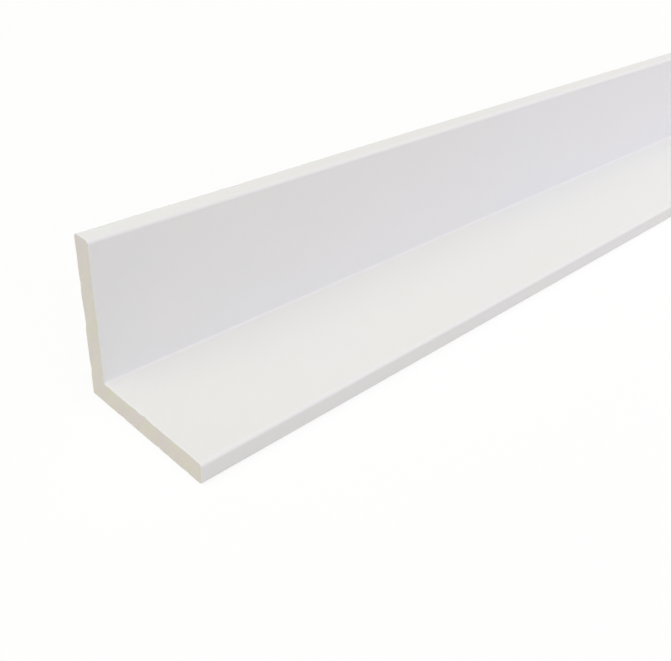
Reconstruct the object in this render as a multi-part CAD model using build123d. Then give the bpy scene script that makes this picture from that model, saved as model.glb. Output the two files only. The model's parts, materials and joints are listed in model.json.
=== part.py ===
from build123d import *
import os

# An equal-leg aluminium angle, cut to a stock length.
#
# The bar lies as it would on a floor: one leg flat on the ground, the other standing along its
# back edge. X runs along the bar, Y from the free edge of the flat leg to the back of the standing
# leg, and Z up. The origin is on the ground, at the middle of the length, halfway across the legs.

# Driving dimensions, in millimetres
LENGTH = 1000.0            # stock length, sawn square at both ends
LEG = 30.0                 # outside width of each leg, heel to toe
WALL = 4.0                 # thickness of each leg
TOE_RADIUS = 0.7           # both corners of a leg's free edge
ROOT_RADIUS = 0.4          # fillet inside the corner
HEEL_RADIUS = 0.3          # the outside corner, which the die leaves almost sharp


def angle_section():
    """The L that the die makes, drawn across the bar, as its corners with a radius at each."""
    back = LEG / 2
    front = back - LEG
    inner = back - WALL
    corners = [
        ((back, 0), HEEL_RADIUS),
        ((front, 0), TOE_RADIUS),
        ((front, WALL), TOE_RADIUS),
        ((inner, WALL), ROOT_RADIUS),
        ((inner, LEG), TOE_RADIUS),
        ((back, LEG), TOE_RADIUS),
    ]
    points = [point for point, radius in corners]
    radii = [radius for point, radius in corners]
    outline = FilletPolyline(*points, radius=radii, close=True)
    return Plane.YZ * make_face(outline)


def angle():
    """The bar: the section pushed along X, half the length each way."""
    return extrude(angle_section(), LENGTH / 2, both=True)


os.makedirs("parts", exist_ok=True)
export_step(angle(), "parts/angle.step")
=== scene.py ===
import json
import random
from math import cos, radians, sin

import bmesh
import bpy
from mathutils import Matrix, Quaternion, Vector


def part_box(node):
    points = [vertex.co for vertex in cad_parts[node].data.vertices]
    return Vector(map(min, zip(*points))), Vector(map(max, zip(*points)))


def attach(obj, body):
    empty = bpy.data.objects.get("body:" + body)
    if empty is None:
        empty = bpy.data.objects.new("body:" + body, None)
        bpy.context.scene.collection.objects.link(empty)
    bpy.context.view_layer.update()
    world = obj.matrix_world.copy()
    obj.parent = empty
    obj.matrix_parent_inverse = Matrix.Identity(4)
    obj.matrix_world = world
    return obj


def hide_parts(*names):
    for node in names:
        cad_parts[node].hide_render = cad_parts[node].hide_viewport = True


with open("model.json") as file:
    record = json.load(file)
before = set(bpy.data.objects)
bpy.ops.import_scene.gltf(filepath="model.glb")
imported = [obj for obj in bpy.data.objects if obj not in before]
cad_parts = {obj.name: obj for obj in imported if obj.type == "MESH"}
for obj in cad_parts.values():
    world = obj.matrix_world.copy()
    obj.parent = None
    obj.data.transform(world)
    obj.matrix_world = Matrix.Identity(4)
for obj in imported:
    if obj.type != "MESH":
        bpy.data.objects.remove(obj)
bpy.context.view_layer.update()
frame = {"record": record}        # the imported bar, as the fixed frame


# The angle: an equal-leg L of aluminium, pressed through a die, sawn to length and coated white
# all over, its ends too. It is modelled in that order: the flat leg, the standing leg drawn up
# from its back strip, the radii that the die leaves along the edges, and the sawn ends.
TOE_RADIUS = 0.0007        # both corners of each leg's free edge
ROOT_RADIUS = 0.0004       # the fillet inside the corner
HEEL_RADIUS = 0.0003       # the outside corner
ARC_STEPS = 10
NEAR = 1e-6                # two places closer than this are the same
FACING = 0.8               # a face looks along an axis if its normal has more of it than this
FLAT = radians(1)          # faces that turn less than this are one flat face
SHARP = radians(40)        # faces that turn more than this meet in a hard edge

low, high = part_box("angle")
length = high.x - low.x
leg = high.y - low.y
mount_place = {mount["name"]: Vector(mount["pos_m"]) for mount in frame["record"]["mounts"]}
ledge_z = mount_place["ledge"].z
inner_y = mount_place["inner_wall"].y


def select(parts, test):
    """Selects the verts, edges or faces of the open mesh that pass the test, and no others."""
    bpy.ops.mesh.select_all(action="DESELECT")
    mesh = bmesh.from_edit_mesh(bpy.context.object.data)
    for part in getattr(mesh, parts):
        if test(part):
            part.select_set(True)
    mesh.select_flush_mode()
    bmesh.update_edit_mesh(bpy.context.object.data)


def middle(part):
    """The middle of an edge or a face."""
    return sum((vert.co for vert in part.verts), Vector()) / len(part.verts)


def from_end(place):
    """How far a place lies inside the nearer of the bar's two end planes."""
    return length / 2 - abs(place.x)


bpy.ops.object.select_all(action="DESELECT")
bpy.ops.mesh.primitive_cube_add(size=1, location=(0, 0, ledge_z / 2))
bar = bpy.context.object
bar.name = "angle_bar"
bar.scale = (length, leg, ledge_z)
bpy.ops.object.transform_apply(location=True, rotation=True, scale=True)

bpy.ops.object.mode_set(mode="EDIT")
bpy.ops.mesh.select_mode(type="FACE")
bpy.ops.mesh.select_all(action="SELECT")
bpy.ops.mesh.bisect(plane_co=(0, inner_y, 0), plane_no=(0, 1, 0))
select("faces", lambda face: face.normal.z > FACING and middle(face).y > inner_y)
bpy.ops.mesh.extrude_region_move(TRANSFORM_OT_translate={"value": (0, 0, high.z - ledge_z)})
bpy.ops.mesh.select_all(action="SELECT")
bpy.ops.mesh.dissolve_limited(angle_limit=FLAT)

bpy.ops.mesh.select_mode(type="EDGE")
corner_radii = [
    (Vector((0, high.y, low.z)), HEEL_RADIUS),
    (Vector((0, low.y, low.z)), TOE_RADIUS),
    (Vector((0, low.y, ledge_z)), TOE_RADIUS),
    (Vector((0, inner_y, ledge_z)), ROOT_RADIUS),
    (Vector((0, inner_y, high.z)), TOE_RADIUS),
    (Vector((0, high.y, high.z)), TOE_RADIUS),
]
for corner, radius in corner_radii:
    select("edges", lambda edge: (middle(edge) - corner).length < NEAR)
    bpy.ops.mesh.bevel(offset=radius, segments=ARC_STEPS, profile=0.5, affect="EDGES")

# The saw leaves fine straight ridges across each end. The cut edges are eased, and uneven where
# the blade tore them a little.
SAW_ANGLE = radians(24)    # how far the ridges lean from upright
SAW_PITCH = 0.0006         # from one ridge to the next
SAW_DEPTH = 0.00002        # of the deepest groove between them
SAW_SEED = 55
RIM = 0.00015              # how wide the eased edge is
RIM_STEPS = 3
TEARS = 24                 # on each end
TEAR_DEPTH = 0.0002        # of the deepest
TEAR_REACH = 0.001         # to each side of its middle
select("edges", lambda edge: from_end(middle(edge)) < NEAR)
bpy.ops.mesh.bevel(offset=RIM, segments=RIM_STEPS, profile=0.5, affect="EDGES")
across_saw = Vector((0, cos(SAW_ANGLE), sin(SAW_ANGLE)))
saw_first = across_saw.dot(Vector((0, low.y, low.z)))
saw_last = across_saw.dot(Vector((0, high.y, high.z)))
saw_count = int((saw_last - saw_first) / SAW_PITCH)
saw_marks = [saw_first + SAW_PITCH * step for step in range(1, saw_count + 1)]
for mark in saw_marks:
    select("faces", lambda face: from_end(middle(face)) < RIM)
    bpy.ops.mesh.bisect(plane_co=across_saw * mark, plane_no=across_saw)


def push_in(depth, **falloff):
    """Moves the selected verts along the bar, away from its end."""
    shrink = 1 - depth / (length / 2)
    bpy.ops.transform.resize(value=(shrink, 1, 1), center_override=(0, 0, 0), **falloff)


def on_straight_rim(place):
    """Whether a place is where the eased edge starts, and clear of the section's corners."""
    to_corners = [(place.yz - corner.yz).length for corner, radius in corner_radii]
    return abs(from_end(place) - RIM) < NEAR and min(to_corners) > TEAR_REACH


bpy.ops.mesh.select_mode(type="VERT")
chance = random.Random(SAW_SEED)
for mark in saw_marks:
    select("verts", lambda vert: from_end(vert.co) < NEAR and abs(across_saw.dot(vert.co) - mark) < NEAR)
    push_in(SAW_DEPTH * chance.random())

rim_places = [
    vert.co.copy()
    for vert in bmesh.from_edit_mesh(bar.data).verts
    if on_straight_rim(vert.co)
]
for end in (-1, 1):
    end_places = [place for place in rim_places if place.x * end > 0]
    for place in chance.sample(end_places, TEARS):
        select("verts", lambda vert: (vert.co.yz - place.yz).length < NEAR and vert.co.x * end > 0)
        push_in(TEAR_DEPTH * chance.random(), use_proportional_edit=True, proportional_size=TEAR_REACH)
bpy.ops.object.mode_set(mode="OBJECT")

bpy.ops.object.shade_smooth_by_angle(angle=SHARP)
flat_faces = bar.modifiers.new("flat_faces", "WEIGHTED_NORMAL")
flat_faces.keep_sharp = True
bpy.ops.object.modifier_apply(modifier="flat_faces")

# Both finishes of the bar have broad patches of tint and a fine grain, each at its own size.
NOISE_LOW = 0.3            # most of a noise lies from here
NOISE_HIGH = 0.7           # to here
uneven = bpy.data.node_groups.new("uneven_finish", "ShaderNodeTree")
for name in ("Patch Size", "Grain Size"):
    uneven.interface.new_socket(name, in_out="INPUT", socket_type="NodeSocketFloat")
for name in ("Patch", "Grain"):
    uneven.interface.new_socket(name, in_out="OUTPUT", socket_type="NodeSocketFloat")
group_in = uneven.nodes.new("NodeGroupInput")
group_out = uneven.nodes.new("NodeGroupOutput")
place_on_bar = uneven.nodes.new("ShaderNodeTexCoord")
for name, detail in (("Patch", 3), ("Grain", 2)):
    per_metre = uneven.nodes.new("ShaderNodeMath")
    per_metre.operation = "DIVIDE"
    per_metre.inputs[0].default_value = 1
    uneven.links.new(group_in.outputs[name + " Size"], per_metre.inputs[1])
    noise = uneven.nodes.new("ShaderNodeTexNoise")
    noise.inputs["Detail"].default_value = detail
    uneven.links.new(place_on_bar.outputs["Object"], noise.inputs["Vector"])
    uneven.links.new(per_metre.outputs["Value"], noise.inputs["Scale"])
    spread = uneven.nodes.new("ShaderNodeMapRange")
    spread.inputs["From Min"].default_value = NOISE_LOW
    spread.inputs["From Max"].default_value = NOISE_HIGH
    uneven.links.new(noise.outputs["Fac"], spread.inputs["Value"])
    uneven.links.new(spread.outputs["Result"], group_out.inputs[name])


def add_finish(name, tints, patch_size, grain_size, roughness, relief,
               streak_turn, streak_size, streak_share):
    """A material of two tints in patches, with a grain, and streaks along the bar or the saw."""
    material = bpy.data.materials.new(name)
    material.use_nodes = True
    nodes = material.node_tree.nodes
    links = material.node_tree.links
    shader = nodes["Principled BSDF"]
    finish = nodes.new("ShaderNodeGroup")
    finish.node_tree = uneven
    finish.inputs["Patch Size"].default_value = patch_size
    finish.inputs["Grain Size"].default_value = grain_size
    tint = nodes.new("ShaderNodeValToRGB")
    tint.color_ramp.elements[0].color = tints[0]
    tint.color_ramp.elements[1].color = tints[1]
    links.new(finish.outputs["Patch"], tint.inputs["Fac"])
    links.new(tint.outputs["Color"], shader.inputs["Base Color"])

    place = nodes.new("ShaderNodeTexCoord")
    along = nodes.new("ShaderNodeMapping")
    along.vector_type = "TEXTURE"
    along.inputs["Rotation"].default_value = (streak_turn, 0, 0)
    along.inputs["Scale"].default_value = streak_size
    links.new(place.outputs["Object"], along.inputs["Vector"])
    streaks = nodes.new("ShaderNodeTexNoise")
    streaks.inputs["Scale"].default_value = 1
    links.new(along.outputs["Vector"], streaks.inputs["Vector"])
    height = nodes.new("ShaderNodeMath")
    height.operation = "MULTIPLY_ADD"
    height.inputs[1].default_value = streak_share
    links.new(streaks.outputs["Fac"], height.inputs[0])
    links.new(finish.outputs["Grain"], height.inputs[2])
    bump = nodes.new("ShaderNodeBump")
    bump.inputs["Distance"].default_value = relief
    links.new(height.outputs["Value"], bump.inputs["Height"])
    links.new(bump.outputs["Normal"], shader.inputs["Normal"])

    gloss = nodes.new("ShaderNodeMapRange")
    gloss.inputs["From Max"].default_value = 1 + streak_share
    gloss.inputs["To Min"].default_value = roughness[0]
    gloss.inputs["To Max"].default_value = roughness[1]
    links.new(height.outputs["Value"], gloss.inputs["Value"])
    links.new(gloss.outputs["Result"], shader.inputs["Roughness"])
    return material


# The coat on the drawn faces is satin, with the faint lines of the die along it. On the sawn ends
# it is thinner, duller and warmer, and follows the marks of the saw.
coat = add_finish(
    "white_coat", tints=((0.815, 0.815, 0.805, 1), (0.825, 0.815, 0.795, 1)),
    patch_size=0.03, grain_size=0.0006, roughness=(0.42, 0.52), relief=0.000012,
    streak_turn=0, streak_size=(0.5, 0.0015, 0.0015), streak_share=0.6)
sawn_end = add_finish(
    "sawn_end", tints=((0.775, 0.755, 0.64, 1), (0.78, 0.72, 0.72, 1)),
    patch_size=0.0028, grain_size=0.0003, roughness=(0.58, 0.75), relief=0.00003,
    streak_turn=SAW_ANGLE, streak_size=(1, 0.0004, 0.02), streak_share=1.0)
bar.data.materials.append(coat)
bar.data.materials.append(sawn_end)
sawn_slot = bar.data.materials.find(sawn_end.name)
for face in bar.data.polygons:
    if abs(face.normal.x) > FACING:
        face.material_index = sawn_slot

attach(bar, "root")
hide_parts("angle")


# The floor: a plain sheet of pale paper that the bar lies on. It is warm to the light that it
# throws back, and looks white to the eye and in gloss, with a little of the bar's shadow kept.
FLOOR_SIZE = 12
PAPER = (0.64, 0.605, 0.535, 1)
WHITE = (1, 1, 1, 1)
SHADOW_SHARE = 0.2
bpy.ops.object.select_all(action="DESELECT")
bpy.ops.mesh.primitive_plane_add(size=FLOOR_SIZE, location=(0, 0, 0))
floor = bpy.context.object
floor.name = "floor"
paper = bpy.data.materials.new("studio_paper")
paper.use_nodes = True
nodes = paper.node_tree.nodes
links = paper.node_tree.links
nodes.remove(nodes["Principled BSDF"])
bounce = nodes.new("ShaderNodeBsdfDiffuse")
bounce.inputs["Color"].default_value = PAPER
shaded = nodes.new("ShaderNodeBsdfDiffuse")
shaded.inputs["Color"].default_value = WHITE
glowing = nodes.new("ShaderNodeEmission")
glowing.inputs["Color"].default_value = WHITE
glowing.inputs["Strength"].default_value = 1
sheet = nodes.new("ShaderNodeMixShader")
sheet.inputs["Fac"].default_value = SHADOW_SHARE
links.new(glowing.outputs["Emission"], sheet.inputs[1])
links.new(shaded.outputs["BSDF"], sheet.inputs[2])


def add_seen(tree):
    """A value that is 1 for what the eye, gloss and glass see, and 0 for thrown light."""
    path = tree.nodes.new("ShaderNodeLightPath")
    total = path.outputs["Is Camera Ray"]
    for name in ("Is Glossy Ray", "Is Transmission Ray"):
        either = tree.nodes.new("ShaderNodeMath")
        either.operation = "MAXIMUM"
        tree.links.new(total, either.inputs[0])
        tree.links.new(path.outputs[name], either.inputs[1])
        total = either.outputs["Value"]
    return total


pick = nodes.new("ShaderNodeMixShader")
links.new(add_seen(paper.node_tree), pick.inputs["Fac"])
links.new(bounce.outputs["BSDF"], pick.inputs[1])
links.new(sheet.outputs["Shader"], pick.inputs[2])
links.new(pick.outputs["Shader"], nodes["Material Output"].inputs["Surface"])
floor.data.materials.append(paper)


# The light: a white room that glows softly, warm from the ceiling and neutral from the front left.
# A weak cool lamp in front stands some way along the bar and makes its faces lighter that way.
# Another, low behind it, keeps the back from going dull.
sky_parts = [
    # middle of the part, how narrow it is, colour, strength
    ((0, 0, 1), 4, (1, 0.89, 0.71, 1), 0.80),
    ((-0.6, -0.31, 0.737), 1, (0.95, 0.99, 1, 1), 1.27),
]
world = bpy.data.worlds.new("studio")
world.use_nodes = True
nodes = world.node_tree.nodes
links = world.node_tree.links
nodes.remove(nodes["Background"])
toward = nodes.new("ShaderNodeTexCoord")
sky = nodes.new("ShaderNodeAddShader")
for slot, (sky_middle, narrowness, colour, strength) in enumerate(sky_parts):
    facing = nodes.new("ShaderNodeVectorMath")
    facing.operation = "DOT_PRODUCT"
    facing.inputs[1].default_value = sky_middle
    links.new(toward.outputs["Generated"], facing.inputs[0])
    near_half = nodes.new("ShaderNodeMath")
    near_half.operation = "MAXIMUM"
    near_half.inputs[1].default_value = 0
    links.new(facing.outputs["Value"], near_half.inputs[0])
    fade = nodes.new("ShaderNodeMath")
    fade.operation = "POWER"
    fade.inputs[1].default_value = narrowness
    links.new(near_half.outputs["Value"], fade.inputs[0])
    level = nodes.new("ShaderNodeMath")
    level.operation = "MULTIPLY"
    level.inputs[1].default_value = strength
    links.new(fade.outputs["Value"], level.inputs[0])
    glow = nodes.new("ShaderNodeBackground")
    glow.inputs["Color"].default_value = colour
    links.new(level.outputs["Value"], glow.inputs["Strength"])
    links.new(glow.outputs["Background"], sky.inputs[slot])
backdrop = nodes.new("ShaderNodeBackground")
backdrop.inputs["Color"].default_value = WHITE
backdrop.inputs["Strength"].default_value = 1
pick = nodes.new("ShaderNodeMixShader")
links.new(add_seen(world.node_tree), pick.inputs["Fac"])
links.new(sky.outputs["Shader"], pick.inputs[1])
links.new(backdrop.outputs["Background"], pick.inputs[2])
links.new(pick.outputs["Shader"], nodes["World Output"].inputs["Surface"])
bpy.context.scene.world = world
bpy.context.scene.view_settings.view_transform = "Standard"

lamps = [
    # name, place, what it points at, width and height, colour, watts
    ("front_lamp", Vector((-0.1, -0.45, 0.22)), Vector((-0.3, 0, 0)), (0.5, 0.3), (0.70, 0.66, 1), 0.86),
    ("back_lamp", Vector((0, 1.8, 0.1)), Vector((0, 0, 0)), (2.0, 0.15), (0.87, 0.91, 1), 17),
]
for name, place, aim, (wide, tall), colour, watts in lamps:
    lamp_data = bpy.data.lights.new(name, "AREA")
    lamp_data.shape = "RECTANGLE"
    lamp_data.size = wide
    lamp_data.size_y = tall
    lamp_data.color = colour
    lamp_data.energy = watts
    lamp = bpy.data.objects.new(name, lamp_data)
    bpy.context.scene.collection.objects.link(lamp)
    lamp.location = place
    lamp.rotation_mode = "QUATERNION"
    lamp.rotation_quaternion = (aim - place).to_track_quat("-Z", "Y")


# The camera: it stands at the photograph's viewing angle, in front of the near end and above it,
# and leans a little to one side. Its place is measured from the heel corner of that end.
CAMERA_FROM_NEAR_HEEL = Vector((-0.05344, -0.10521, 0.08621))
VIEW_DIRECTION = Vector((0.61505, 0.57758, -0.53677))
CAMERA_ROLL = radians(3.756)
SENSOR_WIDTH = 36          # millimetres, as is the lens
LENS = 44.41
CLIP_START = 0.01
camera_data = bpy.data.cameras.new("camera")
camera_data.sensor_width = SENSOR_WIDTH
camera_data.lens = LENS
camera_data.clip_start = CLIP_START
camera = bpy.data.objects.new("camera", camera_data)
bpy.context.scene.collection.objects.link(camera)
camera.location = Vector((low.x, high.y, low.z)) + CAMERA_FROM_NEAR_HEEL
camera.rotation_mode = "QUATERNION"
camera.rotation_quaternion = VIEW_DIRECTION.to_track_quat("-Z", "Y") @ Quaternion((0, 0, 1), CAMERA_ROLL)
bpy.context.scene.camera = camera
